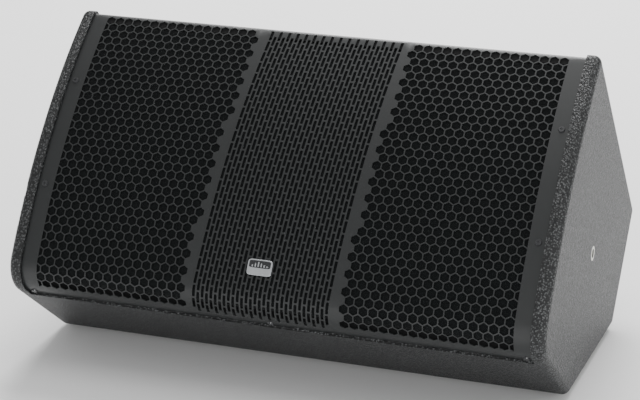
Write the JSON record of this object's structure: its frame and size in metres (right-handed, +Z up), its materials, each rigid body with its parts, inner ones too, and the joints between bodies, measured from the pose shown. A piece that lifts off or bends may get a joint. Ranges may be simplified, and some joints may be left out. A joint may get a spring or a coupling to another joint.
{
  "type": "stage monitor wedge",
  "caption": "Wedge-shaped floor monitor loudspeaker with a bowed perforated steel grille, textured wooden cabinet, woofer and horn driver, rear handle and bracket threads",
  "frame": {"origin": "On the floor, under the middle of the cabinet's outline", "axes": "+X to the right along the cabinet, the grille faces -Y and up, +Z up"},
  "size_m": [0.59, 0.4128, 0.3479],
  "materials": {
    "badge_metal": "satin",
    "basket_metal": "black cast",
    "board_laminate": "satin",
    "cabinet_paint": "pebbled black coat",
    "ceramic": "rough",
    "coil_former": "foil",
    "component_plastic": "satin",
    "cone_paper": "ribbed paper",
    "copper": "enamelled winding",
    "doped_cloth": "doped",
    "foam": "open foam",
    "gasket_foam": "matt",
    "grille_steel": "satin powder coat",
    "handle_grip": "soft grip",
    "inner_wood": "black stain",
    "lead_jacket": "satin",
    "magnet_ferrite": "matt",
    "moulded_plastic": "fine texture",
    "nylon": "satin",
    "plated_steel": "plated",
    "plug_plastic": "satin",
    "rubber": "matt",
    "screw_black": "black oxide",
    "titanium": "thin foil",
    "wadding": "loose wadding",
    "zinc_steel": "zinc plated"
  },
  "bodies": {
    "cabinet": {"badge": "badge_metal", "baffle": "inner_wood", "bottom_panel": "cabinet_paint", "centre_brace": "inner_wood", "chin_panel": "cabinet_paint", "connector_dish": "moulded_plastic", "crossover_board": "board_laminate", "crossover_capacitors": "component_plastic", "crossover_coils": "copper", "crossover_resistors": "ceramic", "crossover_screws": "zinc_steel", "crossover_standoffs": "nylon", "crossover_terminals": "component_plastic", "damping_pads": "wadding", "diaphragm_suspension": "doped_cloth", "dish_screws": "screw_black", "driver_back_cover": "plug_plastic", "driver_front_plate": "plated_steel", "driver_magnet": "magnet_ferrite", "driver_phase_plug": "plug_plastic", "driver_pole": "plated_steel", "driver_terminals": "component_plastic", "driver_top_plate": "plated_steel", "foot_screws": "zinc_steel", "grille": "grille_steel", "grille_foam": "foam", "grille_screws": "screw_black", "handle_bar": "handle_grip", "handle_dish": "moulded_plastic", "horn": "moulded_plastic", "horn_screws": "screw_black", "input_socket": "moulded_plastic", "left_end_panel": "cabinet_paint", "left_grille_batten": "inner_wood", "left_mount_insert": "zinc_steel", "link_socket": "moulded_plastic", "port_tubes": "moulded_plastic", "rear_lower_panel": "cabinet_paint", "rear_upper_panel": "cabinet_paint", "right_end_panel": "cabinet_paint", "right_grille_batten": "inner_wood", "right_mount_insert": "zinc_steel", "rubber_feet": "rubber", "socket_screws": "screw_black", "speaker_leads": "lead_jacket", "top_grille_rail": "inner_wood", "woofer_basket": "basket_metal", "woofer_gasket": "gasket_foam", "woofer_magnet": "magnet_ferrite", "woofer_pole_plate": "plated_steel", "woofer_screws": "screw_black", "woofer_spider": "doped_cloth", "woofer_surround": "doped_cloth", "woofer_terminals": "component_plastic", "woofer_top_plate": "plated_steel"},
    "woofer_moving": {"woofer_cone": "cone_paper", "woofer_dust_cap": "cone_paper", "woofer_voice_coil": "coil_former"},
    "driver_moving": {"driver_diaphragm": "titanium"}
  },
  "joints": [
    {"name": "woofer_excursion", "type": "slide", "parent": "cabinet", "child": "woofer_moving", "axis": [0, -0.763, 0.6464], "range_m": [-0.005, 0.005], "stiffness_N_per_m": 6000, "deforming": ["woofer_surround", "woofer_spider"]},
    {"name": "diaphragm_excursion", "type": "slide", "parent": "cabinet", "child": "driver_moving", "axis": [0, -0.763, 0.6464], "range_m": [-0.0003, 0.0003], "stiffness_N_per_m": 5000, "deforming": ["diaphragm_suspension"]}
  ]
}
